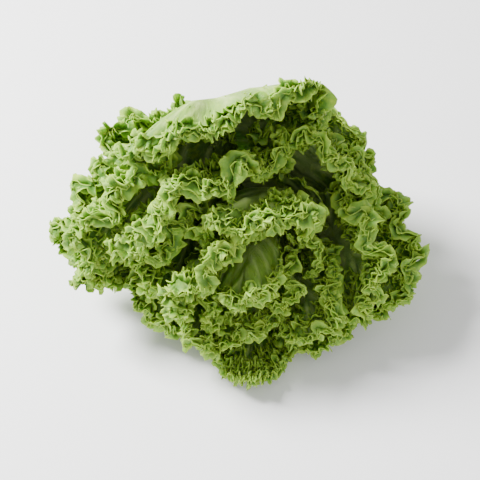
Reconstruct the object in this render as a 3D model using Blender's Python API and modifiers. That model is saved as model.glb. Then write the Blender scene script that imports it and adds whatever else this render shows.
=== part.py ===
"""A head of green coral lettuce, as cut from the ground and laid on its side.

The head is a short stem with a spiral of loose leaves. Each leaf grows from the stem's flank, widens like a
fan and ends in a ruffled margin. Lengths are in metres, +Z is up, and the frilled crown faces -Y.

Leaves never cross, because each one keeps to a layer of its own. A layer is a surface of revolution about the
stem, opened a little wider than the layer inside it. The whole stack is then leaned over, let down at its far
parts and pressed on the surface that it lies on, by maps that keep the layers in order.
"""

import math

import bpy
import numpy as np

# The head
LEAF_COUNT = 28
LEAF_TURN = math.radians(137.5)  # the golden angle, from one leaf to the next
FIRST_TURN = math.radians(65.0)
TURN_SCATTER = math.radians(5.0)
SPREAD_UP, SPREAD_ASIDE = 0.25, 0.15  # move leaves off the underside and towards the flanks, in radians
LEAN = math.radians(18.0)  # the stem's rise towards the crown
BUTT_HEIGHT = 0.029  # the cut end's centre above the surface
SEED = 11

# The stem
STEM_LENGTH = 0.046
STEM_RADIUS = 0.0135
STEM_TOP_RADIUS = 0.0060
STEM_SIDES = 20
ROOT_LOW, ROOT_HIGH = 0.007, 0.041  # where the outermost and the innermost leaf leave the stem
ROOT_CLEAR = 0.0022  # from the stem's surface to the middle of a leaf's root

# How far a layer opens from the stem's axis, at its root and at its reach, above, beside and below the stem
ROOT_OPEN = {"above": 112.0, "beside": 72.0, "below": 42.0}
TIP_OPEN = {"above": -6.0, "beside": 22.0, "below": -26.0}
REACH = 0.180
CONE_HEART, CONE_REST = 0.30, 1.1  # about how far layers open, at the heart and from there out

# A leaf
LENGTH_INNER, LENGTH_OUTER = 0.104, 0.168
LENGTH_SCATTER = 0.10

# How much of its length a leaf has, by its turn in degrees from the upper side
LENGTHS_ROUND = (
    *((0, 1.02), (25, 0.70), (40, 0.40), (61, 0.52), (84, 0.72), (101, 0.80), (124, 0.84), (143, 0.84)),
    *((184, 0.88), (205, 0.60), (219, 0.68), (244, 0.90), (264, 0.95), (285, 1.06), (330, 1.16)),
)

# The outline of a leaf
SWAY = math.radians(16.0)  # how far a leaf's tip sways aside
HALF_WIDTH = 0.42  # of the leaf's length
ROOT_HALF_WIDTH = 0.0085
WIDEST = 0.66  # how far along the leaf is at its widest
RIB_END = 0.80  # how far along the midrib reaches
VEIN_CURVE = 1.2  # above 1, the veins leave the midrib closer together towards its end
WRAP = math.radians(62.0)  # the furthest a leaf wraps to each side of its own midrib
BLADE = 0.0008
RIB, RIB_SPREAD = 0.0019, 0.0040  # how far the midrib stands out at its root, and how far to each side
STEEPEST = 0.33  # the blade is thickened across folds whose sides lean this much or less towards the layer
MARGIN_CELLS = 48

# Ruffles, from the broad waves of the blade to the folds of the margin: wave, height and how deep they run in
WAVES = (0.082, 0.0060, 0.060), (0.043, 0.0085, 0.026)
WAVE_FADE, FOLD_FADE = 1.5, 1.3  # above 1, a ruffle fades slowly near the margin and faster further in
DRIFT, DRIFT_LENGTH = 1.1, 1.3  # how far a wave runs ahead and falls back, in radians, over how many waves
SWELL, SWELL_LENGTH = 0.35, 0.9  # how much a wave swells and shrinks, over how many waves
FOLD_HEIGHT, FOLD_DEPTH = 0.0060, 0.0115
FOLD_SWELLS = (0.30, 9.0), (0.25, 23.0)  # how much the folds swell, and how often along the margin
CALM_VEIN, CALM_RISE = 0.008, 0.030  # veins shorter than this carry no ruffles, and how soon longer ones do

# How much of the room between two leaves a ruffle takes
ROOM_SHARE = 0.46
ROOM_KEPT = 0.0015  # kept free on each side, for the blades' own thickness and a gap
LEAST_ROOM = 0.00002
ROOM_LENGTH = 0.012  # past a neighbour's edge, a layer's worth of room is gained over this length
MOST_ROOM = 6.0

# How the head lies
SAG, SAG_START, SAG_REACH = 0.20, 0.035, 0.110  # share of its height that a part loses that far from the butt
PRESS_HEIGHT = 0.011  # below this the leaves are pressed together
PRESSED_FLAT, PRESSED_FREE = -0.004, 0.020  # ruffles only rise below the first and also hang above the second
LIFTED = 0.36  # how much of a ruffle a pressed leaf keeps, all of it upwards
GROUND = 0.0066


def around(opening, turn):
    """An angle that passes smoothly through the values given above, beside and below the stem."""
    above, beside, below = (math.radians(opening[side]) for side in ("above", "beside", "below"))
    mean = (above + below) / 2
    return (mean + beside) / 2 + (above - below) / 2 * np.cos(turn) + (mean - beside) / 2 * np.cos(2 * turn)


def stem_radius(height):
    """The stem's taper."""
    return STEM_RADIUS + (STEM_TOP_RADIUS - STEM_RADIUS) * (height / STEM_LENGTH) ** 1.5


def in_head(layer, turn, along):
    """Places points of the stack of layers. layer counts leaves from the heart out, turn is the angle round the
    stem and along the distance from the root. Each layer's profile is an arc: it leaves the stem at its root
    opening and bends evenly to its tip opening."""
    share = layer / LEAF_COUNT
    root_open = share * around(ROOT_OPEN, turn)
    bend = (share * around(TIP_OPEN, turn) - root_open) / REACH
    heading = root_open + bend * along / 2
    chord = along * np.sinc(bend * along / (2 * math.pi))
    root_height = ROOT_HIGH + (ROOT_LOW - ROOT_HIGH) * share
    out = stem_radius(root_height) + ROOT_CLEAR + chord * np.sin(heading)
    up_stem = root_height + chord * np.cos(heading)
    return out * np.sin(turn), out * np.cos(turn), up_stem


def lean_over(x, y, z):
    """Leans the head over on its side and lets its far parts sag."""
    low_y = y * math.sin(LEAN) - z * math.cos(LEAN)
    low_z = y * math.cos(LEAN) + z * math.sin(LEAN) + BUTT_HEIGHT
    far = np.clip(np.hypot(x, low_y) - SAG_START, 0, None) / SAG_REACH
    return x, low_y, low_z * (1 - SAG * far**2)


def press(x, y, z):
    """Presses the lowest parts together, and flat where they meet the surface."""
    below = np.minimum(z - PRESS_HEIGHT, 0) / PRESS_HEIGHT
    z = np.where(below < 0, PRESS_HEIGHT * np.exp(below), z)
    return np.stack([x, y, np.maximum(z - GROUND, BLADE / 2)], -1)


def half_width(along, length):
    """Half the blade's width at a distance from its root: narrow at the root, widest past the middle and round
    at the tip."""
    passed = np.clip(along / length, 0, 1)
    rise = np.clip((passed - 0.06) / (WIDEST - 0.06), 0, 1)
    width = ROOT_HALF_WIDTH + (HALF_WIDTH * length - ROOT_HALF_WIDTH) * rise * rise * (3 - 2 * rise)
    return width * np.sqrt(1 - (np.clip(passed - WIDEST, 0, 1) / (1 - WIDEST)) ** 2)


def margin_points(length, share):
    """Points of one side of the margin, evenly spaced from the tip (share 0) to the root (share 1): how far aside
    and how far along each one is, with the length of that side."""
    along = length * (0.5 + 0.5 * np.cos(np.linspace(0, math.pi, 400)))
    aside = half_width(along, length)
    passed = np.concatenate([[0], np.cumsum(np.hypot(np.diff(aside), np.diff(along)))])
    passed_share = passed / passed[-1]
    return np.interp(share, passed_share, aside), np.interp(share, passed_share, along), passed[-1]


def radius(along, layer):
    """About how far from the stem's axis a layer is."""
    return np.hypot(STEM_RADIUS, along * math.sin(CONE_HEART + CONE_REST * layer / LEAF_COUNT))


def wrap_angle(aside, along, layer):
    """The angle round the stem of a point that far aside of the midrib. No leaf wraps further than WRAP."""
    return WRAP * np.tanh(aside / radius(along, layer) / WRAP)


def lay_out():
    """The rank of each leaf, with its turn round the stem, its length and its sway."""
    rng = np.random.default_rng(SEED)
    leaves = []
    for rank in range(LEAF_COUNT):
        share = (rank + 1) / LEAF_COUNT
        length = LENGTH_INNER + (LENGTH_OUTER - LENGTH_INNER) * share**0.75
        turn = FIRST_TURN + LEAF_TURN * rank + TURN_SCATTER * rng.uniform(-1, 1)
        turn += SPREAD_ASIDE * math.sin(2 * turn) - SPREAD_UP * math.sin(turn)
        length *= 1 + LENGTH_SCATTER * rng.uniform(-1, 1)
        length *= float(np.interp(math.degrees(turn), *zip(*LENGTHS_ROUND), period=360))
        leaves.append((rank, turn, length, SWAY * rng.uniform(-1, 1)))
    return leaves


LEAVES = lay_out()


def midrib(leaf, along):
    """The angle round the stem that a leaf's midrib has reached."""
    _, turn, length, sway = leaf
    return turn + sway * (along / length) ** 2


def room(rank, turn, along, outward):
    """How many layers away the nearest leaf is on one side of a point. Past a neighbour's edge the room grows
    steadily, so that a ruffle swells over it without a step."""
    free = np.full_like(turn, MOST_ROOM)
    for leaf in LEAVES:
        other, _, length, _ = leaf
        layers = (other - rank) * (1 if outward else -1)
        if not 0 < layers < MOST_ROOM:
            continue
        apart = np.abs((turn - midrib(leaf, np.minimum(along, length)) + math.pi) % (2 * math.pi) - math.pi)
        past_side = apart - wrap_angle(half_width(along, length), along, other + 1)
        past = np.clip(past_side * radius(along, other + 1), 0, None) + np.clip(along - length, 0, None)
        free = np.minimum(free, layers + past / ROOM_LENGTH)
    return free


def layer_at(layer, turn, along):
    """Points of a layer where the head lies, before the surface presses on them."""
    return np.stack(lean_over(*in_head(layer, turn, along)), -1)


def facing(layer, turn, along):
    """The direction in which a layer faces away from the stem, and how far off the next layer is that way."""
    here = layer_at(layer, turn, along)
    ahead = layer_at(layer, turn, along + 0.001) - here
    aside = layer_at(layer, turn + 0.01, along) - here
    outward = np.cross(ahead, aside)
    outward /= np.linalg.norm(outward, axis=-1, keepdims=True)
    return outward, ((layer_at(layer + 1, turn, along) - here) * outward).sum(-1)


def leaf_surface(rank, side, v):
    """The middle surface of one leaf. side runs along the margin, from -1 at one side of the root over 0 at the
    tip to 1, and v runs along a vein, from 0 on the midrib to 1 at the margin."""
    rng = np.random.default_rng(SEED + 1 + rank)
    _, _, length, _ = LEAVES[rank]
    layer = rank + 1.0
    q = np.abs(side)
    edge_aside, edge_along, margin = margin_points(length, q)
    foot = RIB_END * length * (1 - q) ** VEIN_CURVE
    aside = np.sign(side) * v * edge_aside
    along = foot + v * (edge_along - foot)
    passed = side * margin
    vein = np.hypot(edge_aside, edge_along - foot)
    depth = (1 - v) * vein

    calm = np.clip((vein - CALM_VEIN) / CALM_RISE, 0, 1)  # the root, where veins are short, is plain
    size = length / LENGTH_OUTER
    turns = midrib(LEAVES[rank], along) + wrap_angle(aside, along, layer)
    here = layer_at(layer, turns, along)
    free = np.clip((here[..., 2] - PRESSED_FLAT) / (PRESSED_FREE - PRESSED_FLAT), 0, 1)
    ruffle = np.zeros_like(depth)
    for wave, height, reach in WAVES:
        start, drift, swell = rng.uniform(0, 2 * math.pi, 3)
        phase = 2 * math.pi * passed / (wave * size) + start + DRIFT * np.sin(passed / (DRIFT_LENGTH * wave) + drift)
        strength = 1 + SWELL * np.sin(passed / (SWELL_LENGTH * wave) + swell)
        rise = free * np.sin(phase) + (1 - free) * LIFTED * (np.sin(phase) - 1)
        ruffle += size * height * strength * rise * np.exp(-((depth / (reach * size)) ** WAVE_FADE))
    strength = np.ones_like(depth)
    for (amount, often), start in zip(FOLD_SWELLS, rng.uniform(0, 2 * math.pi, 2)):
        strength += amount * np.sin(often * side + start)
    fold = np.cos(math.pi * MARGIN_CELLS / 2 * side)
    rise = free * fold + (1 - free) * LIFTED * (fold - 1)
    ruffle += size * FOLD_HEIGHT * strength * rise * np.exp(-((depth / FOLD_DEPTH) ** FOLD_FADE))
    ruffle *= calm * calm * (3 - 2 * calm)

    outward, gap = facing(layer, turns, along)
    limit = np.where(ruffle > 0, room(rank, turns, along, True), room(rank, turns, along, False))
    limit = np.clip(ROOM_SHARE * limit * gap - ROOM_KEPT, LEAST_ROOM, None)
    shift = (limit * np.tanh(ruffle / limit))[..., None]
    x, y, _ = np.moveaxis(here + outward * shift * free[..., None], -1, 0)
    middle = press(x, y, (here + outward * shift)[..., 2])
    pressed = ((1 - free) * np.clip(-outward[..., 2], 0, 1))[..., None]
    outward = (1 - pressed) * outward + pressed * np.array([0.0, 0.0, -1.0])
    outward = np.where((middle[..., 2] <= BLADE / 2)[..., None], (0.0, 0.0, -1.0), outward)
    outward /= np.linalg.norm(outward, axis=-1, keepdims=True)
    taper = np.clip(1 - along / (RIB_END * length), 0, 1)
    return middle, outward, RIB * size**2 * taper * np.exp(-((aside / RIB_SPREAD) ** 2))


def stitch(outer, inner):
    """Triangles between two rows of points. inner has as many cells as outer, or half as many."""
    faces = []
    if len(outer) == len(inner):
        for i in range(len(outer) - 1):
            faces.append((outer[i], outer[i + 1], inner[i]))
            faces.append((outer[i + 1], inner[i + 1], inner[i]))
    else:
        for i in range(len(inner) - 1):
            a, b, c = outer[2 * i : 2 * i + 3]
            faces += [(a, b, inner[i]), (b, inner[i + 1], inner[i]), (b, c, inner[i + 1])]
    return [f for f in faces if len(set(f)) == 3]


ROWS = (1.0, 1), (0.86, 1), (0.64, 2), (0.36, 4), (0.10, 4), (0.0, 4)  # v, and margin cells to one of the row


def fan(rows_at):
    """Rows of point numbers from the margin to the midrib, and the triangles between them. Both sides of the
    blade share the points of the midrib."""
    rows, count = [], 0
    for v, side in rows_at:
        ids = list(range(count, count + len(side)))
        count += len(side)
        rows.append(ids + ids[-2::-1] if v == 0 else ids)
    faces = [face for outer, inner in zip(rows, rows[1:]) for face in stitch(outer, inner)]
    corner = [row[0] for row in rows] + [row[-1] for row in rows[-2::-1]]
    return np.array(faces), rows[0] + corner[::-1][1:-1]


def steepness(middle, outward, faces):
    """How much thicker the blade is made across a point, so that it keeps its thickness where folds are steep."""
    a, b, c = (middle[faces[:, i]] for i in range(3))
    normal = np.cross(b - a, c - a)
    normal /= np.linalg.norm(normal, axis=1, keepdims=True) + 1e-12
    total, count = np.zeros(len(middle)), np.zeros(len(middle))
    for i in range(3):
        across = np.abs((normal * outward[faces[:, i]]).sum(1))
        np.add.at(total, faces[:, i], 1 / np.clip(across, STEEPEST, 1))
        np.add.at(count, faces[:, i], 1)
    return total / count


def add_leaf(rank, collection, material):
    """One leaf: a fan of triangles from the midrib to the margin, alike on both faces and closed along its rim,
    with the midrib standing out on the outer face."""
    rows_at = []
    for v, skip in ROWS:
        side = np.linspace(-1, 1, MARGIN_CELLS // skip + 1)
        rows_at.append((v, side[: len(side) // 2 + 1] if v == 0 else side))
    faces, rim = fan(rows_at)
    surface = [leaf_surface(rank, side, np.full_like(side, v)) for v, side in rows_at]
    middle, outward, rib = (np.concatenate(values) for values in zip(*surface))
    half = BLADE / 2 * steepness(middle, outward, faces)
    half = np.where(middle[:, 2] <= BLADE / 2, BLADE / 2, half)
    inner_face = middle - outward * half[:, None]
    outer_face = middle + outward * (half + rib)[:, None]
    outer_face[:, 2] = np.maximum(outer_face[:, 2], 0)
    count = len(middle)
    triangles = [tuple(map(int, face[::-1])) for face in faces]
    triangles += [tuple(int(i) + count for i in face) for face in faces]
    for i, j in zip(rim, rim[1:] + rim[:1]):
        triangles += [(i, j, i + count), (j, j + count, i + count)]
    name = f"leaf_{rank + 1:02d}"
    mesh = bpy.data.meshes.new(name)
    mesh.from_pydata(np.concatenate([inner_face, outer_face]).tolist(), [], triangles)
    mesh.materials.append(material)
    leaf = bpy.data.objects.new(name, mesh)
    collection.objects.link(leaf)
    return leaf


def add_stem(collection, material):
    """The stem: a turned taper with a flat cut at the butt and a blunt growing tip."""
    heights = np.linspace(STEM_LENGTH, 0, 7)
    profile = [(0.0, 0.0, STEM_LENGTH + 0.002)]
    profile += [(float(stem_radius(h)), 0.0, float(h)) for h in heights]
    profile += [(0.0, 0.0, 0.0)]
    mesh = bpy.data.meshes.new("stem")
    mesh.from_pydata(profile, [(i, i + 1) for i in range(len(profile) - 1)], [])
    mesh.materials.append(material)
    stem = bpy.data.objects.new("stem", mesh)
    collection.objects.link(stem)
    turned = stem.modifiers.new("turned", "SCREW")
    turned.steps = turned.render_steps = STEM_SIDES
    turned.use_merge_vertices = True
    turned.merge_threshold = 0.00005
    stem.rotation_euler = (math.pi / 2 - LEAN, 0, 0)
    stem.location = (0, 0, BUTT_HEIGHT - GROUND)
    return stem


def make_material(name, colour, roughness):
    """A plain plant surface."""
    material = bpy.data.materials.new(name)
    material.use_nodes = True
    shader = material.node_tree.nodes["Principled BSDF"]
    shader.inputs["Base Color"].default_value = (*colour, 1)
    shader.inputs["Roughness"].default_value = roughness
    return material


def main():
    for old in list(bpy.data.objects):
        bpy.data.objects.remove(old, do_unlink=True)
    head = bpy.data.collections.new("green_coral_lettuce")
    bpy.context.scene.collection.children.link(head)
    leaf_green = make_material("leaf_green", (0.30, 0.50, 0.09), 0.5)
    stem_pale = make_material("stem_pale", (0.72, 0.78, 0.50), 0.6)
    pieces = [add_stem(head, stem_pale)]
    pieces += [add_leaf(rank, head, leaf_green) for rank in range(LEAF_COUNT)]
    centre(pieces)


def centre(pieces):
    """Moves the head so that the origin is under the middle of its box."""
    bpy.context.view_layer.update()
    seen = bpy.context.evaluated_depsgraph_get()
    corners = []
    for piece in pieces:
        shape = piece.evaluated_get(seen)
        corners += [piece.matrix_world @ v.co for v in shape.data.vertices]
    corners = np.array(corners)
    middle = (corners.min(0) + corners.max(0)) / 2
    for piece in pieces:
        piece.location.x -= middle[0]
        piece.location.y -= middle[1]


main()
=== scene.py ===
"""The looks of a head of green coral lettuce, laid on its side and seen from above its frilled crown.

Lengths are in metres, +Z is up, and the crown faces -Y. Each leaf lies on a layer, an arc turned about the
stem's axis. Its blade is the layer's point, plus the way it faces times a sum of waves along the margin, each
fading away from the margin and held back where the next leaf is near. On it stand rows of frills. Their points
are the foot on the blade, plus the height times the way they rise, plus the ruffle times sin(phase) across
them, plus the overhang times sin(2 * phase) along them.
"""

import math

import bpy
import numpy as np
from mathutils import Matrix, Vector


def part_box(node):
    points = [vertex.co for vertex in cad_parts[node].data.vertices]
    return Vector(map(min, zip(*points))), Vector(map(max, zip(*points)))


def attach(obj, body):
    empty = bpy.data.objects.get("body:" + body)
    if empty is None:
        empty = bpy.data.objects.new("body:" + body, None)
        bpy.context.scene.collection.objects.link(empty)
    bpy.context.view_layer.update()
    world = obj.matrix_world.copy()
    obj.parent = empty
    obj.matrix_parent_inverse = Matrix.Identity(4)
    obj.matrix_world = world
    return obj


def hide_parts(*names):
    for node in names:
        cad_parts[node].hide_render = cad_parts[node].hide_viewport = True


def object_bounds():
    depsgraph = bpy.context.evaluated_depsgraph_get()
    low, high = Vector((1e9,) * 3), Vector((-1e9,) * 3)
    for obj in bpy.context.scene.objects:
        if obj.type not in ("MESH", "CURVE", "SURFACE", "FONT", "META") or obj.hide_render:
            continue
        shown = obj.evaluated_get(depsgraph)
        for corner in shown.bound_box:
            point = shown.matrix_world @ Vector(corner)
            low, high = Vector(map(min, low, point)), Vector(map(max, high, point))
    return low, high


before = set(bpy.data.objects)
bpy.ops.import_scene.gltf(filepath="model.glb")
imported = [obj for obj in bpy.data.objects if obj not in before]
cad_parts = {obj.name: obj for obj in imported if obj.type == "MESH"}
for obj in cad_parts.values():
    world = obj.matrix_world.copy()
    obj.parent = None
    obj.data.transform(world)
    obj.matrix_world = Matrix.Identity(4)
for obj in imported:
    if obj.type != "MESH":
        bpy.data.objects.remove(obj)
cad_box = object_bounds()

# The stem
# A short taper of pale, juicy flesh that every leaf grows from. It was cut through with a knife, and the cut
# has dried in a little and browned in patches. It leans up towards the crown.

LEAN = math.radians(18.0)  # the stem's rise towards the crown
STEM_LENGTH = 0.046
STEM_RADIUS = 0.0135
STEM_TOP_RADIUS = 0.0060
BUTT_HEIGHT = 0.029  # the middle of the cut, before the head is lowered
GROUND = 0.0066  # how far the head is lowered, so that its lowest leaves are pressed flat on the floor
STEM_RINGS, STEM_COLUMNS = 60, 96
STEM_FLUTES, FLUTE_DEPTH, FLUTE_TWIST = 5, 0.00025, 60.0
SMOOTH_WITHIN = 0.001  # of the axis, where there are no flutes
BUTT_DISH = 0.0006  # how far the cut's middle has shrunk in
TIP_DOME = 0.0018  # how far the tip bulges

stem_low, stem_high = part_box("stem")
butt_y = stem_high[1] - STEM_RADIUS * math.sin(LEAN)
BUTT = np.array([(stem_low[0] + stem_high[0]) / 2, butt_y, BUTT_HEIGHT - GROUND])  # the middle of the cut


def stem_radius(height):
    """The stem's taper: from the butt's radius to the top's, in proportion to the height to the power 1.5."""
    return STEM_RADIUS + (STEM_TOP_RADIUS - STEM_RADIUS) * (height / STEM_LENGTH) ** 1.5


def leaned(x, y, z):
    """Points given from the middle of the butt, with z up the stem, where the leaning head has them."""
    low_y = y * math.sin(LEAN) - z * math.cos(LEAN)
    low_z = y * math.cos(LEAN) + z * math.sin(LEAN)
    return np.stack([x, low_y, low_z], -1) + BUTT


def new_piece(name, points, faces, material):
    """A smooth mesh of the given points and faces, with unused points left out."""
    used, faces = np.unique(faces, return_inverse=True)
    faces = faces.reshape(-1, 4)
    mesh = bpy.data.meshes.new(name)
    corners = [tuple(dict.fromkeys(face)) for face in faces.tolist()]
    mesh.from_pydata(points.reshape(-1, 3)[used].tolist(), [], corners)
    mesh.polygons.foreach_set("use_smooth", np.ones(len(mesh.polygons), dtype=bool))
    mesh.materials.append(material)
    piece = bpy.data.objects.new(name, mesh)
    bpy.context.scene.collection.objects.link(piece)
    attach(piece, "root")
    return piece, used


def turned_stem():
    """The stem as rings carried along a profile: across the dished cut, round its rim, up the fluted flank
    and over the blunt tip. A ring's radius is the profile's, less a small wave round the stem for flutes."""
    passed = np.linspace(0, 1, STEM_RINGS)
    rim, shoulder = 0.22, 0.92  # where along the profile the cut ends and the tip begins
    across = np.clip(passed / rim, 0, 1)
    up = np.clip((passed - rim) / (shoulder - rim), 0, 1)
    over = np.clip((passed - shoulder) / (1 - shoulder), 0, 1)
    height = BUTT_DISH * (1 - across**2) + STEM_LENGTH * up + TIP_DOME * np.sin(over * math.pi / 2)
    radius = stem_radius(STEM_LENGTH * up) * np.sin(across * math.pi / 2) * np.cos(over * math.pi / 2)
    angle = np.linspace(0, 2 * math.pi, STEM_COLUMNS, endpoint=False)
    waves = np.sin(STEM_FLUTES * angle[None] + FLUTE_TWIST * height[:, None])
    flutes = -FLUTE_DEPTH * (1 + waves) * up[:, None] ** 0.3
    radius = np.clip(radius[:, None] + flutes * (radius[:, None] > SMOOTH_WITHIN), 0, None)
    return leaned(radius * np.sin(angle), radius * np.cos(angle), height[:, None] + 0 * angle)


def ring_faces(rings, columns):
    """Four-cornered faces between closed rings of points, of which the first and the last are one point."""
    ids = np.arange(rings * columns).reshape(rings, columns)
    ids[0], ids[-1] = ids[0, 0], ids[-1, 0]
    after = np.roll(ids, -1, axis=1)
    return np.stack([ids[:-1], ids[1:], after[1:], after[:-1]], -1).reshape(-1, 4)


def plug(material, socket, value):
    """Links a value to a socket, or sets it."""
    if isinstance(value, bpy.types.NodeSocket):
        material.node_tree.links.new(value, socket)
    else:
        socket.default_value = value


def node(material, kind, **inputs):
    """A shader node with some of its inputs set or linked."""
    made = material.node_tree.nodes.new(kind)
    for name, value in inputs.items():
        plug(material, made.inputs[name.replace("_", " ")], value)
    return made


def math_node(material, operation, *values):
    """A sum, product or like of values, kept between 0 and 1 where the operation's name ends in _CLAMPED."""
    made = material.node_tree.nodes.new("ShaderNodeMath")
    made.operation = operation.removesuffix("_CLAMPED")
    made.use_clamp = operation.endswith("_CLAMPED")
    for socket, value in zip(made.inputs, values):
        plug(material, socket, value)
    return made.outputs[0]


def mix_colours(material, share, first, second):
    """Two colours mixed, from all of the first at 0 to all of the second at 1."""
    made = material.node_tree.nodes.new("ShaderNodeMix")
    made.data_type = "RGBA"
    plug(material, made.inputs[0], share)
    for socket, colour in zip(made.inputs[6:8], (first, second)):
        plug(material, socket, colour if isinstance(colour, bpy.types.NodeSocket) else (*colour, 1))
    return made.outputs[2]


def new_material(name):
    """A material with its Principled shader."""
    material = bpy.data.materials.new(name)
    material.use_nodes = True
    return material, material.node_tree.nodes["Principled BSDF"]


def stem_flesh():
    """Pale flesh, streaked along the stem and browned in patches."""
    material, shader = new_material("stem_flesh")
    place = node(material, "ShaderNodeTexCoord").outputs["Object"]
    streaks = node(material, "ShaderNodeTexNoise", Vector=place, Scale=420.0, Detail=3.0).outputs[0]
    patches = node(material, "ShaderNodeTexNoise", Vector=place, Scale=110.0, Detail=5.0).outputs[0]
    browned = math_node(material, "MULTIPLY_CLAMPED", math_node(material, "SUBTRACT", patches, 0.52), 5.0)
    pale = mix_colours(material, streaks, (0.45, 0.56, 0.20), (0.62, 0.68, 0.36))
    colour = mix_colours(material, math_node(material, "MULTIPLY", browned, 0.75), pale, (0.30, 0.16, 0.05))
    plug(material, shader.inputs["Base Color"], colour)
    shader.inputs["Roughness"].default_value = 0.45
    shader.inputs["Subsurface Weight"].default_value = 0.2
    shader.inputs["Subsurface Radius"].default_value = (1.0, 0.8, 0.4)
    shader.inputs["Subsurface Scale"].default_value = 0.002
    bump = node(material, "ShaderNodeBump", Height=streaks, Strength=0.4, Distance=0.0004)
    plug(material, shader.inputs["Normal"], bump.outputs[0])
    return material


stem_rings = ring_faces(STEM_RINGS, STEM_COLUMNS)
stem, _ = new_piece("stem_cut", turned_stem(), stem_rings, stem_flesh())
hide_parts("stem")

# The leaves
# Loose leaves in a spiral round the stem, small at the heart and long outside. Each is one thin blade that
# widens like a fan from a juicy midrib. Its margin grew faster than the rest, so it is thrown into frills.

LEAF_COUNT = 28
LEAF_TURN = math.radians(137.5)  # the golden angle, from one leaf to the next
FIRST_TURN = math.radians(65.0)
TURN_SCATTER = math.radians(5.0)
SPREAD_UP, SPREAD_ASIDE = 0.25, 0.15  # move leaves off the underside and towards the flanks, in radians
SEED = 11
ROOT_LOW, ROOT_HIGH = 0.007, 0.041  # where the outermost and the innermost leaf leave the stem
ROOT_CLEAR = 0.0022  # from the stem's surface to the middle of a leaf's root

# How far a layer of leaf opens from the stem's axis, at its root and at its reach, above, beside and below
ROOT_OPEN = {"above": 112.0, "beside": 72.0, "below": 42.0}
TIP_OPEN = {"above": -6.0, "beside": 22.0, "below": -26.0}
REACH = 0.180
CONE_HEART, CONE_REST = 0.30, 1.1  # about how far layers open, at the heart and from there out

# How long leaves are, and how much of that they have, by their turn in degrees from the upper side
LENGTH_INNER, LENGTH_OUTER = 0.104, 0.168
LENGTH_SCATTER = 0.10
LENGTHS_ROUND = (
    *((0, 1.02), (25, 0.70), (40, 0.40), (61, 0.52), (84, 0.72), (101, 0.80), (124, 0.84), (143, 0.84)),
    *((184, 0.88), (205, 0.60), (219, 0.68), (244, 0.90), (264, 0.95), (285, 1.06), (330, 1.16)),
)
SWAY = math.radians(16.0)  # how far a leaf's tip sways aside
HALF_WIDTH = 0.42  # of the leaf's length
ROOT_HALF_WIDTH = 0.0085
WIDEST = 0.66  # how far along the leaf is at its widest
RIB_END = 0.80  # how far along the midrib reaches
VEIN_CURVE = 1.2  # above 1, the veins leave the midrib closer together towards its end
WRAP = math.radians(62.0)  # the furthest a leaf wraps to each side of its own midrib
BLADE = 0.0006  # thickness
RIB, RIB_SPREAD = 0.0019, 0.0040  # how far the midrib stands out at its root, and how far to each side

# Ruffles, from the broad waves of the blade to the folds of its margin
WAVES = (0.082, 0.0060, 0.060), (0.043, 0.0085, 0.026)  # wave, height and how deep they run in
WAVE_FADE, FOLD_FADE = 1.5, 1.3  # above 1, a ruffle fades slowly near the margin and faster further in
DRIFT, DRIFT_LENGTH = 1.1, 1.3  # how far a wave runs ahead and falls back, in radians, over how many waves
SWELL, SWELL_LENGTH = 0.35, 0.9  # how much a wave swells and shrinks, over how many waves
FOLDS, FOLD_HEIGHT, FOLD_DEPTH = 24, 0.0060, 0.0115
FOLD_SWELLS = (0.30, 9.0), (0.25, 23.0)  # how much the folds swell, and how often along the margin
CALM_VEIN, CALM_RISE = 0.008, 0.030  # veins shorter than this carry no ruffles, and how soon longer ones do
ROOM_SHARE = 0.46  # of the room between two leaves that a ruffle takes
ROOM_KEPT = 0.0015  # kept free on each side, for the blades' own thickness and a gap
LEAST_ROOM = 0.00002
ROOM_LENGTH = 0.012  # past a neighbour's edge, a layer's worth of room is gained over this length
MOST_ROOM = 6.0  # in layers

# How the head lies
SAG, SAG_START, SAG_REACH = 0.20, 0.035, 0.110  # share of its height that a part loses that far from the butt
PRESS_HEIGHT = 0.011  # below this the leaves are pressed together
PRESSED_FLAT, PRESSED_FREE = -0.004, 0.020  # ruffles only rise below the first and also hang above the second
LIFTED = 0.36  # how much of a ruffle a pressed leaf keeps, all of it upwards

# Frills on the margin, and what stands out of the blade
FRILL_WAVE, FRILL_HEIGHT, FRILL_DEPTH = 0.0058, 0.0016, 0.0060
FRILL_OVERHANG, FOLD_OVERHANG = 0.0004, 0.0012
FRILL_DRIFT, TOOTH_DRIFT = 0.55, 0.8  # how unevenly these waves follow each other, in radians
FRILL_SWELLS = (0.35, 0.0090), (0.25, 0.0041)  # how much higher some frills are, and over what length
FRILL_SLANT, FRILL_FADE = 0.006, 1.4  # how far in a frill's crest has turned by a radian, and how it fades
STILL_AT_ROOT, STILL_AT_TIP = 1 / 12, 1 / 30  # parts of the margin within which overhangs and teeth die away
TOOTH_WAVE, TOOTH, TOOTH_DEPTH = 0.0045, 0.0010, 0.003
NOTCH = 0.4  # how much deeper notches are than teeth are long
LEAST_VEIN = 0.01
BLISTER, BLISTER_HEIGHT = 0.0052, 0.00030
BLISTER_TURNS = 2.1, 2.3  # of the crossed waves, in radians in a blister's width
BLISTER_BENDS = (1.4, 0.9), (1.6, 0.7)  # how far these waves are bent, and how often, in radians
SIDE_VEINS, VEIN_HEIGHT, VEIN_SPREAD = 8, 0.0008, 0.0011  # on each side, on the back
VEIN_PLACE, VEIN_TAPER, SECOND_BRANCH = 0.45, 0.75, 0.8
GROOVE_SHARE = 0.35  # of a vein's height, that the front is sunk over it
RIB_PALENESS = 0.003  # how far from the midrib the blade is pale
FORK_START, FORK_LENGTH, FORK_SPREAD = 0.42, 0.4, 0.25  # where veins fork, and how far they part
WRINKLES, WRINKLE_HEIGHT = 38, 0.00026  # along the veins, on each side
WRINKLE_WANDER = (2.2, 1 / 7), (1.5, 1 / 31)  # in radians, and over what share of the margin
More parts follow.
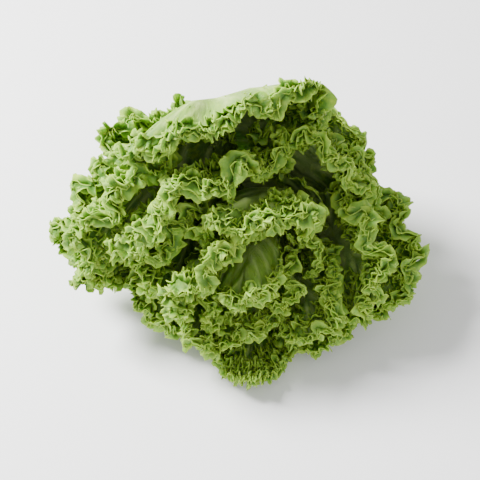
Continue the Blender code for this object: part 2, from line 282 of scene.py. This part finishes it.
PRESSED_SHARE = 0.35  # of all this relief that is left where the head rests on the floor
BLADE_COLUMN = 0.00145  # along the margin
BLADE_ROWS, ROW_CROWDING = 12, 1.8  # from the margin to the midrib, closer together towards the margin
ROW_REACHES = 1 - np.linspace(1, 0, BLADE_ROWS) ** ROW_CROWDING  # how far from the midrib, from 0 to 1

# Where the margin doubles back over the blade: rows of upright frills, each on a line along the margin
FLAPS_INSIDE = (  # from the margin
    *(0.0018, 0.0058, 0.0100, 0.0145, 0.0190, 0.0238, 0.0290, 0.0345, 0.0402, 0.0462, 0.0525, 0.0590, 0.0660),
)
FLAPS_OUTSIDE = 0.0022, 0.0068, 0.0115, 0.0165, 0.0220, 0.0280, 0.0342, 0.0408, 0.0480, 0.0560, 0.0650
HEART_LEAVES, BARE_BACKS = 4, 22  # leaves before the first rank, and from the second rank on, have bare backs
BARE_ROWS = 3  # the rows of frills outside on a bare back
FLAP_HEIGHT, FLAP_WAVE, FLAP_RUFFLE, FLAP_OVERHANG = 0.0061, 0.0036, 0.0019, 0.0004
FLAP_FOOT = 0.04  # of the height, above the blade's middle surface
FLAP_LEAN = math.radians(36.0)  # towards the margin
FLAP_WANDER = (0.0022, 0.0062), (0.0014, 0.0025), (0.0008, 0.0011)  # how far a row strays, over what length
MOST_PROUD = 0.0040  # how far frills may stand out of the head's box
FLAP_COLUMN, FLAP_ROWS = 0.00066, 3
FLAP_THICKNESS = 0.0004
FLAP_DEEPEST = 0.80  # of the vein
YOUNG_DEPTH, YOUNG_HEIGHT = 0.55, 0.65  # of a row's depth and a frill's height that the smallest leaf has
LOW_HEIGHT = 0.3  # of a frill's height that is left near the root and where the head rests on the floor
FLAP_SWINGS = (0.45, 0.0095), (0.45, 0.0029)  # how far the lean swings, in radians, and over what length
FLAP_SWELLS = (0.28, 0.0083), (0.20, 0.0027), (0.20, 0.0013)  # how much higher, and over what length
FLAP_TEETH = (0.14, 0.50), (0.13, 1.37)  # how long teeth are, of the height, and how often in a ruffle's wave
FLAP_DRIFT, FLAP_SKEW = 0.6, 0.6  # in radians: how unevenly waves follow, and how far a rim is ahead of its foot
RUFFLE_SWELLS, RUFFLE_RISE = ((0.35, 0.0038),), 1.1
FLAP_BACKSIDE = 0.25  # how much their skin is like a leaf's back
FLAP_SHALLOWEST, FLAP_END = 0.0015, 0.9  # from the margin, and of the margin from the tip to the root
SKY_EVENED = 15  # neighbouring columns that share one view of the sky
FLAP_ROOM = 0.0024  # the room that frills need before the next leaf
FLAP_SKY = 0.066  # the share of directions towards the sky that frills need
LEAST_RUN, RUN_TAPER = 16, 8  # in columns: the shortest strip, and how soon it reaches its height

CELL = 0.005  # of the grid that tells where blades are in the way of light
CELLS_OUT = 36  # how many cells away blades can be in the way


def around(opening, turn):
    """An angle that passes smoothly through the values given above, beside and below the stem."""
    above, beside, below = (math.radians(opening[side]) for side in ("above", "beside", "below"))
    mean = (above + below) / 2
    return (mean + beside) / 2 + (above - below) / 2 * np.cos(turn) + (mean - beside) / 2 * np.cos(2 * turn)


def layer_at(layer, turn, along):
    """Points of a layer of leaf, before the floor presses on them. Each layer is a profile turned about the
    stem. The profile is an arc that leaves the stem at the root opening and bends evenly to the tip opening,
    so its chord is its length times the sinc of half its bend. Parts sag by the square of their distance."""
    share = layer / LEAF_COUNT
    root_open = share * around(ROOT_OPEN, turn)
    bend = (share * around(TIP_OPEN, turn) - root_open) / REACH
    heading = root_open + bend * along / 2
    chord = along * np.sinc(bend * along / (2 * math.pi))
    root_height = ROOT_HIGH + (ROOT_LOW - ROOT_HIGH) * share
    out = stem_radius(root_height) + ROOT_CLEAR + chord * np.sin(heading)
    place = leaned(out * np.sin(turn), out * np.cos(turn), root_height + chord * np.cos(heading))
    from_butt = np.hypot(place[..., 0] - BUTT[0], place[..., 1] - BUTT[1])
    far = np.clip(from_butt - SAG_START, 0, None) / SAG_REACH
    place[..., 2] = (place[..., 2] + GROUND) * (1 - SAG * far**2)
    return place


def pressed(height):
    """Heights of the lowest parts, pressed together by an exponential, and flat where they meet the floor."""
    below = np.minimum(height - PRESS_HEIGHT, 0) / PRESS_HEIGHT
    return np.maximum(np.where(below < 0, PRESS_HEIGHT * np.exp(below), height) - GROUND, BLADE / 2)


def half_width(along, length):
    """Half the blade's width: narrow at the root, rising by a smooth step, and an ellipse towards the tip."""
    passed = np.clip(along / length, 0, 1)
    rise = np.clip((passed - 0.06) / (WIDEST - 0.06), 0, 1)
    width = ROOT_HALF_WIDTH + (HALF_WIDTH * length - ROOT_HALF_WIDTH) * rise * rise * (3 - 2 * rise)
    return width * np.sqrt(1 - (np.clip(passed - WIDEST, 0, 1) / (1 - WIDEST)) ** 2)


def margin_points(length, share):
    """Points of one side of the margin, evenly spaced from the tip (share 0) to the root (share 1)."""
    along = length * (0.5 + 0.5 * np.cos(np.linspace(0, math.pi, 400)))
    aside = half_width(along, length)
    passed = np.concatenate([[0], np.cumsum(np.hypot(np.diff(aside), np.diff(along)))])
    shares = passed / passed[-1]
    return np.interp(share, shares, aside), np.interp(share, shares, along), passed[-1]


def radius_of(along, layer):
    """About how far from the stem's axis a layer is."""
    return np.hypot(STEM_RADIUS, along * math.sin(CONE_HEART + CONE_REST * layer / LEAF_COUNT))


def wrap_angle(aside, along, layer):
    """The angle round the stem of a point that far aside of the midrib: the most it wraps, times a tanh."""
    return WRAP * np.tanh(aside / radius_of(along, layer) / WRAP)


def lay_out():
    """The rank of each leaf, with its turn round the stem, its length and its sway."""
    rng = np.random.default_rng(SEED)
    leaves = []
    for rank in range(LEAF_COUNT):
        share = (rank + 1) / LEAF_COUNT
        length = LENGTH_INNER + (LENGTH_OUTER - LENGTH_INNER) * share**0.75
        turn = FIRST_TURN + LEAF_TURN * rank + TURN_SCATTER * rng.uniform(-1, 1)
        turn += SPREAD_ASIDE * math.sin(2 * turn) - SPREAD_UP * math.sin(turn)
        length *= 1 + LENGTH_SCATTER * rng.uniform(-1, 1)
        length *= float(np.interp(math.degrees(turn), *zip(*LENGTHS_ROUND), period=360))
        leaves.append((rank, turn, length, SWAY * rng.uniform(-1, 1)))
    return leaves


LEAVES = lay_out()


def midrib(leaf, along):
    """The angle round the stem that a leaf's midrib has reached."""
    _, turn, length, sway = leaf
    return turn + sway * (along / length) ** 2


def room(rank, turn, along, outward):
    """How many layers away the nearest leaf is on one side of a point."""
    free = np.full_like(turn, MOST_ROOM)
    for leaf in LEAVES:
        other, _, length, _ = leaf
        layers = (other - rank) * (1 if outward else -1)
        if not 0 < layers < MOST_ROOM:
            continue
        apart = np.abs((turn - midrib(leaf, np.minimum(along, length)) + math.pi) % (2 * math.pi) - math.pi)
        past_side = apart - wrap_angle(half_width(along, length), along, other + 1)
        past = np.clip(past_side * radius_of(along, other + 1), 0, None) + np.clip(along - length, 0, None)
        free = np.minimum(free, layers + past / ROOM_LENGTH)
    return free


def facing(layer, turn, along):
    """Points of a layer, the direction it faces away from the stem, and how far off the next layer is."""
    here = layer_at(layer, turn, along)
    ahead = layer_at(layer, turn, along + 0.001) - here
    aside = layer_at(layer, turn + 0.01, along) - here
    outward = np.cross(ahead, aside)
    outward /= np.linalg.norm(outward, axis=-1, keepdims=True)
    return here, outward, ((layer_at(layer + 1, turn, along) - here) * outward).sum(-1)


def kept_in_box(points):
    """Points moved back where frills stand out of the head's box, from out to most * tanh(out / most)."""
    low, high = np.array(cad_box[0]), np.array(cad_box[1])
    from_middle = points - (low + high) / 2
    out = np.clip(np.abs(from_middle) - (high - low) / 2, 0, None)
    return points - np.sign(from_middle) * (out - MOST_PROUD * np.tanh(out / MOST_PROUD))


def unit(vectors):
    """Vectors scaled to length 1."""
    return vectors / (np.linalg.norm(vectors, axis=-1, keepdims=True) + 1e-12)


def swells(passed, waves, starts):
    """A sum of sine waves along the margin, each with its height, its length to a radian and its start."""
    return sum(height * np.sin(passed / length + start) for (height, length), start in zip(waves, starts))


UNEVEN_WAVES = (1.0, 1.3), (0.7, 0.47)  # how much a phase drifts, and over how many waves


def uneven(rng, passed, wave, amount):
    """A wave's phase along the margin, which runs ahead and falls back, by two longer and shorter waves."""
    start, *starts = rng.uniform(0, 2 * math.pi, 3)
    drift = swells(passed, [(share, wave * far) for share, far in UNEVEN_WAVES], starts)
    return 2 * math.pi * passed / wave + start + amount * drift


def vein_of(length, q):
    """Where veins end on the margin and start on the midrib, and how long they are, by the margin's share."""
    edge_aside, edge_along, _ = margin_points(length, q)
    foot = RIB_END * length * (1 - q) ** VEIN_CURVE
    return edge_aside, edge_along, foot, np.hypot(edge_aside, edge_along - foot)


def ruffled(rank, side, q, v):
    """The middle surface of a leaf's blade, before it is pressed. side runs along the margin, from one side
    of the root (-1) over the tip (0) to the other (1), q is its distance from the tip, slid along by
    overhangs, and v runs from the midrib (0) to the margin (1). The blade is a layer's surface, moved in and
    out by waves that fade from the margin, as far as neighbours leave room: limit * tanh(waves / limit)."""
    rng = np.random.default_rng(SEED + 1 + rank)
    length = LEAVES[rank][2]
    layer = rank + 1.0
    size = length / LENGTH_OUTER
    _, _, margin = margin_points(length, 0.0)
    edge_aside, edge_along, foot, vein = vein_of(length, q)
    depth = np.clip(1 - v, 0, None) * vein
    aside = np.sign(side) * v * edge_aside
    along = foot + v * (edge_along - foot)
    passed = side * margin
    calm = np.clip((vein - CALM_VEIN) / CALM_RISE, 0, 1)
    calm = calm * calm * (3 - 2 * calm)
    turns = midrib(LEAVES[rank], along) + wrap_angle(aside, along, layer)
    here, outward, gap = facing(layer, turns, along)
    free = np.clip((here[..., 2] - PRESSED_FLAT) / (PRESSED_FREE - PRESSED_FLAT), 0, 1)
    ruffle = np.zeros_like(depth)
    for wave, height, deep in WAVES:
        start, drift, swell = rng.uniform(0, 2 * math.pi, 3)
        drifted = DRIFT * np.sin(passed / (DRIFT_LENGTH * wave) + drift)
        phase = 2 * math.pi * passed / (wave * size) + start + drifted
        strength = 1 + SWELL * np.sin(passed / (SWELL_LENGTH * wave) + swell)
        rise = free * np.sin(phase) + (1 - free) * LIFTED * (np.sin(phase) - 1)
        ruffle += size * height * strength * rise * np.exp(-((depth / (deep * size)) ** WAVE_FADE))
    strength = np.ones_like(depth)
    for (amount, often), start in zip(FOLD_SWELLS, rng.uniform(0, 2 * math.pi, 2)):
        strength += amount * np.sin(often * side + start)
    fold = np.cos(math.pi * FOLDS * side)
    rise = free * fold + (1 - free) * LIFTED * (fold - 1)
    ruffle += size * FOLD_HEIGHT * strength * rise * np.exp(-((depth / FOLD_DEPTH) ** FOLD_FADE))
    ruffle *= calm
    inner_room, outer_room = room(rank, turns, along, False), room(rank, turns, along, True)
    limit = np.where(ruffle > 0, outer_room, inner_room)
    limit = np.clip(ROOM_SHARE * limit * gap - ROOM_KEPT, LEAST_ROOM, None)
    shift = limit * np.tanh(ruffle / limit)
    middle = here + outward * (shift * free)[..., None]
    middle[..., 2] = (here + outward * shift[..., None])[..., 2]
    rooms = {1: inner_room * gap + shift, -1: outer_room * gap - shift}
    return middle, outward, {"calm": calm, "free": free, "aside": aside, "along": along, "rooms": rooms}


def grid_facing(points, outward):
    """The way each point of a blade faces, from its neighbours, on the side that outward is on. Along the
    midrib the two halves of the leaf share one direction."""
    normal = unit(np.cross(np.gradient(points, axis=1), np.gradient(points, axis=0)))
    normal *= np.sign((normal * outward).sum(-1).mean())
    normal[-1] = unit(normal[-2] + normal[-2, ::-1])
    return normal


MARKS = "from_margin", "veins", "rootward", "along_margin", "backside"  # what points tell the leaf's skin


def sheet(front, back, front_marks, back_marks, ids, rim):
    """Points, marks and faces of a thin closed sheet. Its two faces are grids of points numbered by ids,
    joined round their rim."""
    quads = np.stack([ids[:-1, :-1], ids[1:, :-1], ids[1:, 1:], ids[:-1, 1:]], -1).reshape(-1, 4)
    count = front.size // 3
    after = np.roll(rim, -1)
    edge = np.stack([rim, after, after + count, rim + count], -1)
    points = np.concatenate([front.reshape(-1, 3), back.reshape(-1, 3)])
    marks = np.concatenate([marks.reshape(len(MARKS), -1) for marks in (front_marks, back_marks)], 1)
    return points, marks, np.concatenate([quads, quads[:, ::-1] + count, edge])


def crossed(first, second, shifts):
    """Bumps: two crossed waves multiplied, each of them bent by a wave that runs along the other."""
    (bend, often), (other_bend, other_often) = BLISTER_BENDS
    first_bent = bend * np.sin(second * often + shifts[1])
    second_bent = other_bend * np.sin(first * other_often + shifts[3])
    bumps = np.sin(first * BLISTER_TURNS[0] + shifts[0] + first_bent)
    return bumps * np.sin(second * BLISTER_TURNS[1] + shifts[2] + second_bent)


def blade(rank):
    """Both faces of a leaf's blade, and its middle, on a grid of columns along the margin and rows from the
    margin to the midrib. The ruffled surface is moved the way it faces by a wave along the margin, two crossed
    waves for blisters and a fine one for wrinkles. The back stands out further over the veins."""
    fine = np.random.default_rng(SEED + 101 + rank)
    length = LEAVES[rank][2]
    _, _, margin = margin_points(length, 0.0)
    columns = 2 * int(margin / BLADE_COLUMN) + 1
    side, v = np.meshgrid(np.linspace(-1, 1, columns), ROW_REACHES[::-1])
    size = length / LENGTH_OUTER
    passed = side * margin
    frill_phase = uneven(fine, passed, FRILL_WAVE, FRILL_DRIFT)
    q = np.abs(side)
    depth = (1 - v) * vein_of(length, q)[3]
    ends = np.clip((1 - q) / STILL_AT_ROOT, 0, 1) * np.clip(q / STILL_AT_TIP, 0, 1)
    slide = FOLD_OVERHANG * size * np.sin(2 * math.pi * FOLDS * side)
    slide = slide + FRILL_OVERHANG * np.sin(2 * frill_phase)
    q = np.clip(q + np.sign(side) * slide / margin * np.exp(-depth / FOLD_DEPTH) * ends, 0, 1)
    vein = vein_of(length, q)[3]
    tooth = TOOTH * (np.sin(uneven(fine, passed, TOOTH_WAVE, TOOTH_DRIFT)) - NOTCH)
    reach = v * (1 + tooth / np.clip(vein, LEAST_VEIN, None) * np.exp(-depth / TOOTH_DEPTH) * ends)
    middle, outward, at = ruffled(rank, side, q, reach)
    middle[-1] = (middle[-1] + middle[-1, ::-1]) / 2

    first_facing = grid_facing(middle, outward)
    shifts = fine.uniform(0, 2 * math.pi, 6)
    frill = FRILL_HEIGHT * (1 + swells(passed, FRILL_SWELLS, shifts[4:]))
    frill *= np.sin(frill_phase + depth / FRILL_SLANT)
    frill *= np.exp(-((depth / FRILL_DEPTH) ** FRILL_FADE))
    bumps = crossed(passed * v / BLISTER, depth / BLISTER, shifts)
    frill += BLISTER_HEIGHT * bumps * np.clip(v * 2.2 - 0.25, 0, 1)
    wrinkle = np.sin(2 * math.pi * WRINKLES * side + swells(side, WRINKLE_WANDER, shifts))
    frill += WRINKLE_HEIGHT * wrinkle * np.clip(v * 5 - 0.7, 0, 1) * (0.7 + 0.3 * np.sin(11 * v + shifts[2]))
    frill *= at["calm"] * np.sqrt(size) * (PRESSED_SHARE + (1 - PRESSED_SHARE) * at["free"]) * (v > 0)
    middle = middle + first_facing * frill[..., None]
    middle[..., 2] = pressed(middle[..., 2])

    veins = np.zeros_like(depth)
    for number in range(1, SIDE_VEINS + 1):
        spread = np.clip((v - FORK_START) / FORK_LENGTH, 0, 1) * FORK_SPREAD / SIDE_VEINS
        for branch, weight in ((-1, 1.0), (1, SECOND_BRANCH)):
            off = np.abs(q - (number - VEIN_PLACE) / SIDE_VEINS - branch * spread) * margin * np.clip(v, 0.05, 1)
            veins = np.maximum(veins, weight * (1 - VEIN_TAPER * v) * np.exp(-((off / VEIN_SPREAD) ** 2)))
    veins *= np.clip(v * 8, 0, 1)
    taper = np.clip(1 - at["along"] / (RIB_END * length), 0, 1)
    rib = RIB * size**2 * taper * np.exp(-((at["aside"] / RIB_SPREAD) ** 2))
    normal = grid_facing(middle, outward)
    normal[middle[..., 2] <= BLADE / 2] = (0.0, 0.0, -1.0)
    front = middle - normal * (BLADE / 2 - GROOVE_SHARE * VEIN_HEIGHT * veins)[..., None]
    back = middle + normal * (BLADE / 2 + VEIN_HEIGHT * veins + rib)[..., None]
    for face in (front, back):
        face[..., 2] = np.maximum(face[..., 2], 0)
        face[-1] = (face[-1] + face[-1, ::-1]) / 2
    ids = np.arange(v.size).reshape(v.shape)
    ids[-1, columns // 2 + 1 :] = ids[-1, : columns // 2][::-1]
    rim = np.concatenate([ids[0], ids[1:, -1], ids[-2:0:-1, 0]])
    bright = np.maximum(veins, taper * np.exp(-((at["aside"] / RIB_PALENESS) ** 2)))
    marks = np.stack([depth, bright, 1 - at["along"] / length, passed, np.zeros_like(depth)])
    backs = marks.copy()
    backs[MARKS.index("backside")] = 1
    return sheet(front, back, marks, backs, ids, rim), middle


def filled_cells(middles):
    """The low corner of a grid of cells round all blades, and which of its cells a blade passes through."""
    between = np.linspace(0, 1, 5)[:-1, None, None, None]
    filled_up = [(1 - between) * grid[:-1] + between * grid[1:] for grid in middles]
    points = np.concatenate([grid.reshape(-1, 3) for grid in filled_up])
    cells = ((points - points.min(0)) / CELL).astype(int)
    filled = np.zeros(cells.max(0) + 1, dtype=bool)
    filled[tuple(cells.T)] = True
    return points.min(0), filled


def open_sky(points, low, filled):
    """The share of directions towards the sky in which no blade is in the way of each point."""
    steps = np.arange(1, CELLS_OUT)[:, None, None] * CELL
    x, y, z = np.meshgrid([-1, 0, 1], [-1, 0, 1], [0, 1])
    directions = np.stack([x, y, z], -1).reshape(-1, 3)
    directions = unit(directions[np.abs(directions).sum(-1) > 0].astype(float))
    free = np.zeros(len(points))
    for direction in directions:
        cells = np.floor((points + direction * steps - low) / CELL).astype(int)
        inside = ((cells >= 0) & (cells < filled.shape)).all(-1)
        x, y, z = np.moveaxis(np.where(inside[..., None], cells, 0), -1, 0)
        free += ~(filled[x, y, z] & inside).any(0)
    return free / len(directions)


def flaps(rank, below_margin, face, fine, cells):
    """A row of frills that stand on the blade where the margin doubles back over it: strips on a line along
    the margin, wherever the next leaf is far enough and light falls in. Their feet are on the straight lines
    between the blade's own rows. They rise from the blade, lean towards the margin, and wave from side to
    side more the higher they are, by the formula at the top of this file."""
    length = LEAVES[rank][2]
    size = length / LENGTH_OUTER
    _, _, margin = margin_points(length, 0.0)
    mean_depth = below_margin * (YOUNG_DEPTH + (1 - YOUNG_DEPTH) * size)
    tried = np.linspace(0, FLAP_END, 200)
    reached = tried[FLAP_DEEPEST * vein_of(length, tried)[3] > mean_depth]
    if len(reached) == 0:
        return []
    end = reached.max()
    side = np.linspace(-end, end, 2 * int(end * margin / FLAP_COLUMN) + 1)
    q = np.abs(side)
    passed = side * margin
    starts = fine.uniform(0, 2 * math.pi, 9)
    from_margin = mean_depth + swells(passed, FLAP_WANDER, starts)
    v = 1 - np.clip(from_margin, FLAP_SHALLOWEST, None) / vein_of(length, q)[3]
    _, outward, at = ruffled(rank, side, q, v)
    after = np.clip(np.searchsorted(ROW_REACHES, v), 1, BLADE_ROWS - 1)
    inner, outer = (ruffled(rank, side, q, ROW_REACHES[number])[0] for number in (after - 1, after))
    share = (v - ROW_REACHES[after - 1]) / (ROW_REACHES[after] - ROW_REACHES[after - 1])
    base = inner + (outer - inner) * share[:, None]
    toward = unit(outer - inner)
    beside = unit(np.gradient(base, axis=0))
    away = np.cross(toward, beside)
    away *= -face * np.sign((away * outward).sum(-1, keepdims=True))
    base[:, 2] = pressed(base[:, 2])

    lean = FLAP_LEAN + swells(passed, FLAP_SWINGS, starts[3:])
    rise = np.cos(lean)[:, None] * away + np.sin(lean)[:, None] * toward
    across = unit(np.cross(rise, beside))
    height = FLAP_HEIGHT * (1 + swells(passed, FLAP_SWELLS, starts[5:]))
    height *= (YOUNG_HEIGHT + (1 - YOUNG_HEIGHT) * size) * (LOW_HEIGHT + (1 - LOW_HEIGHT) * at["calm"])
    if face < 0:
        height *= LOW_HEIGHT + (1 - LOW_HEIGHT) * at["free"]
    phase = uneven(fine, passed, FLAP_WAVE, FLAP_DRIFT)
    up = np.linspace(FLAP_FOOT, 1, FLAP_ROWS)[:, None]
    sheets = []
    evened = np.ones(SKY_EVENED) / SKY_EVENED
    sky = np.convolve(open_sky(base + rise * height[:, None], *cells), evened, "same")
    kept = (at["rooms"][face] > FLAP_ROOM) & (sky > FLAP_SKY) & (v > 1 - FLAP_DEEPEST)
    kept = np.concatenate([[0], kept, [0]])
    changes = np.flatnonzero(np.diff(kept))
    for first, last in zip(changes[::2], changes[1::2]):
        if last - first < LEAST_RUN:
            continue
        run = slice(first, last)
        number = np.arange(last - first)
        tall = height[run] * np.clip((np.minimum(number, number[::-1]) + 1) / RUN_TAPER, 0, 1)
        swell = 1 + swells(passed[run], RUFFLE_SWELLS, starts[8:])
        strength = (tall / FLAP_HEIGHT) * swell * up**RUFFLE_RISE
        sway = FLAP_RUFFLE * np.sin(phase[run] + FLAP_SKEW * up) * strength
        slide = FLAP_OVERHANG * np.sin(2 * phase[run]) * strength
        tooth = 1 + sum(far * np.sin(often * phase[run]) for far, often in FLAP_TEETH) * (up == 1)
        points = base[run] + rise[run] * (up * tall * tooth)[..., None]
        points += across[run] * sway[..., None] + beside[run] * slide[..., None]
        points = kept_in_box(points)
        points[..., 2] = np.maximum(points[..., 2], FLAP_THICKNESS)
        thick = unit(np.cross(np.gradient(points, axis=1), np.gradient(points, axis=0))) * FLAP_THICKNESS / 2
        from_rim = (1 - up) * tall
        rootward = (1 - at["along"] / length)[run] + 0 * up
        marks = [from_rim, 0 * from_rim, rootward, passed[run] + 0 * up, FLAP_BACKSIDE + 0 * from_rim]
        marks = np.stack(marks)
        ids = np.arange(points.size // 3).reshape(points.shape[:2])
        rim = np.concatenate([ids[0], ids[1:, -1], ids[-1, -2::-1], ids[-2:0:-1, 0]])
        sheets.append(sheet(points - thick, points + thick, marks, marks, ids, rim))
    return sheets


def joined(parts):
    """Several sheets' points, marks and faces, numbered as one."""
    starts = np.cumsum([0] + [len(points) for points, _, _ in parts[:-1]])
    faces = np.concatenate([part[2] + start for part, start in zip(parts, starts)])
    return np.concatenate([part[0] for part in parts]), np.concatenate([part[1] for part in parts], 1), faces


def node_attribute(material, name):
    """A number stored on the leaf's points."""
    made = material.node_tree.nodes.new("ShaderNodeAttribute")
    made.attribute_name = name
    return made.outputs["Fac"]


# SHADED_BLADE_GREEN is painted shade, for the blade deep in from the margin and the feet of the frills
FRILL_GREEN, SHADED_BLADE_GREEN = (0.30, 0.51, 0.062), (0.085, 0.200, 0.026)
SPECK_GREEN, SHADE_GREEN = (0.10, 0.24, 0.020), (0.070, 0.190, 0.026)
SUN_YELLOW, EDGE_GREEN = (0.42, 0.54, 0.050), (0.44, 0.61, 0.075)
BACK_GREEN, BACK_STREAK = (0.17, 0.34, 0.040), (0.40, 0.57, 0.11)
RIB_PALE, HEART_YELLOW = (0.50, 0.63, 0.22), (0.42, 0.58, 0.08)


def above(material, value, start, steepness):
    """0 up to the start, and from there rising that steeply to 1."""
    return math_node(material, "MULTIPLY_CLAMPED", math_node(material, "SUBTRACT", value, start), steepness)


def tinted(material, colour, where, amount, tint):
    """A colour with an amount of a tint mixed in where a value is 1, and less where it is less."""
    return mix_colours(material, math_node(material, "MULTIPLY", where, amount), colour, tint)


def leaf_skin():
    """Leaf tissue: pale at the root and ribs, bright yellow-green in the frills, and paler and duller on the
    back.
    Deeper in from the margin and down each frill it darkens to painted shade of the hollows, and its rims are
    yellower, partly the margin's own tone and partly a painted glow of light through them. It lets light
    through."""
    material, shader = new_material("leaf_skin")
    depth, veins, root, passed, back, young = (node_attribute(material, name) for name in (*MARKS, "youth"))
    place = node(material, "ShaderNodeTexCoord").outputs["Object"]
    mottle = node(material, "ShaderNodeTexNoise", Vector=place, Scale=70.0, Detail=4.0).outputs[0]
    patches = node(material, "ShaderNodeTexNoise", Vector=place, Scale=160.0, Detail=2.0).outputs[0]
    fine = node(material, "ShaderNodeTexNoise", Vector=place, Scale=520.0, Detail=3.0).outputs[0]
    down = math_node(material, "MULTIPLY", depth, 0.10)
    lengthwise = node(material, "ShaderNodeCombineXYZ", X=passed, Y=down, Z=0.0).outputs[0]
    streaks = node(material, "ShaderNodeTexNoise", Vector=lengthwise, Scale=620.0, Detail=3.0).outputs[0]
    # Darker with depth from the margin and from each frill's rim: painted shade of the hollows between the
    # frills and under the leaves above
    inner = math_node(material, "MULTIPLY_CLAMPED", depth, 210.0)
    colour = mix_colours(material, inner, FRILL_GREEN, SHADED_BLADE_GREEN)
    colour = tinted(material, colour, above(material, fine, 0.42, 4.0), 0.14, SPECK_GREEN)
    colour = tinted(material, colour, above(material, mottle, 0.40, 3.5), 0.45, SHADE_GREEN)
    colour = tinted(material, colour, above(material, patches, 0.50, 5.0), 0.40, SUN_YELLOW)
    # Yellower within about a millimetre of the margin and the frills' rims: partly the margin's own paler tone
    # and partly a painted glow of light through the thin rims
    edge = math_node(material, "SUBTRACT_CLAMPED", 1.0, math_node(material, "MULTIPLY", depth, 900.0))
    colour = tinted(material, colour, edge, 0.35, EDGE_GREEN)
    deep_back = math_node(material, "MULTIPLY", back, above(material, depth, 0.006, 60.0))
    pale = mix_colours(material, streaks, BACK_GREEN, BACK_STREAK)
    colour = tinted(material, colour, deep_back, 0.62, pale)
    paler = above(material, root, 0.55, 1.3)
    paler = math_node(material, "MAXIMUM", paler, math_node(material, "MULTIPLY", veins, 0.85))
    colour = mix_colours(material, paler, colour, RIB_PALE)
    colour = tinted(material, colour, young, 0.10, HEART_YELLOW)
    plug(material, shader.inputs["Base Color"], colour)
    rough = math_node(material, "ADD", math_node(material, "MULTIPLY", back, 0.08), 0.46)
    rough = math_node(material, "ADD", rough, math_node(material, "MULTIPLY", fine, 0.12))
    plug(material, shader.inputs["Roughness"], rough)
    shader.inputs["Specular IOR Level"].default_value = 0.22
    shader.inputs["Subsurface Weight"].default_value = 0.30
    shader.inputs["Subsurface Radius"].default_value = (0.8, 1.0, 0.12)
    shader.inputs["Subsurface Scale"].default_value = 0.0016
    cells = node(material, "ShaderNodeTexVoronoi", Vector=place, Scale=330.0)
    cells.feature = "SMOOTH_F1"
    height = math_node(material, "ADD", math_node(material, "MULTIPLY", cells.outputs["Distance"], 0.6), fine)
    height = math_node(material, "ADD", height, math_node(material, "MULTIPLY", streaks, 1.4))
    bump = node(material, "ShaderNodeBump", Height=height, Strength=0.55, Distance=0.0006)
    plug(material, shader.inputs["Normal"], bump.outputs[0])
    return material


skin = leaf_skin()
blades = [blade(rank) for rank in range(LEAF_COUNT)]
cells = filled_cells([middle for _, middle in blades])
for rank in range(LEAF_COUNT):
    name = f"leaf_{rank + 1:02d}"
    fine = np.random.default_rng(SEED + 301 + rank)
    sheets = [blades[rank][0]]
    for depth in FLAPS_INSIDE:
        sheets += flaps(rank, depth, 1, fine, cells)
    for depth in FLAPS_OUTSIDE if HEART_LEAVES <= rank < BARE_BACKS else FLAPS_OUTSIDE[:BARE_ROWS]:
        sheets += flaps(rank, depth, -1, fine, cells)
    points, marks, faces = joined(sheets)
    leaf, used = new_piece(f"frilled_{name}", points, faces, skin)
    youth = np.full(len(used), 1 - (rank + 1) / LEAF_COUNT)
    for key, values in zip((*MARKS, "youth"), (*marks[:, used], youth)):
        leaf.data.attributes.new(key, "FLOAT", "POINT").data.foreach_set("value", values)
    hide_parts(name)

# The studio
# A plain pale floor, a lamp up on the left and a weaker, wider one up at the front right, and an even light
# from all round.

FLOOR_SIZE = 12.0

half = FLOOR_SIZE / 2
floor_corners = [(-half, -half, 0), (half, -half, 0), (half, half, 0), (-half, half, 0)]
floor_mesh = bpy.data.meshes.new("floor")
floor_mesh.from_pydata(floor_corners, [], [(0, 1, 2, 3)])
floor = bpy.data.objects.new("floor", floor_mesh)
bpy.context.scene.collection.objects.link(floor)
floor_white, floor_shader = new_material("floor_white")
floor_shader.inputs["Base Color"].default_value = (0.97, 0.97, 0.97, 1)
floor_shader.inputs["Roughness"].default_value = 0.9
floor_mesh.materials.append(floor_white)


def aimed(item, place, target):
    """Places a light or a camera and points it at a target."""
    made = bpy.data.objects.new(item.name, item)
    bpy.context.scene.collection.objects.link(made)
    made.location = place
    away = made.location - type(made.location)(target)
    made.rotation_euler = away.to_track_quat("Z", "Y").to_euler()
    return made


MIDDLE = (0.0, 0.0, 0.050)  # what the camera and the lights point at
for name, place, size, power in (
    ("key", (-0.85, 0.15, 1.00), 0.45, 64.0),
    ("fill", (0.7, -0.9, 0.8), 1.2, 6.0),
):
    light = bpy.data.lights.new(name, "AREA")
    light.size = size
    light.energy = power
    aimed(light, place, MIDDLE)

world = bpy.data.worlds.new("studio")
world.use_nodes = True
world.node_tree.nodes["Background"].inputs["Color"].default_value = (1.0, 1.0, 1.0, 1)
world.node_tree.nodes["Background"].inputs["Strength"].default_value = 0.66
bpy.context.scene.world = world

CAMERA_AZIMUTH, CAMERA_ELEVATION = math.radians(10.0), math.radians(52.0)
CAMERA_DISTANCE = 1.0
METRES_A_PIXEL = 0.00069  # at the head
IMAGE_WIDTH = 480
camera = bpy.data.cameras.new("camera")
camera.sensor_width = 36.0
camera.lens = camera.sensor_width * CAMERA_DISTANCE / (IMAGE_WIDTH * METRES_A_PIXEL)
flat_distance = CAMERA_DISTANCE * math.cos(CAMERA_ELEVATION)
camera_place = (
    MIDDLE[0] + flat_distance * math.sin(CAMERA_AZIMUTH),
    MIDDLE[1] - flat_distance * math.cos(CAMERA_AZIMUTH),
    MIDDLE[2] + CAMERA_DISTANCE * math.sin(CAMERA_ELEVATION),
)
bpy.context.scene.camera = aimed(camera, camera_place, MIDDLE)
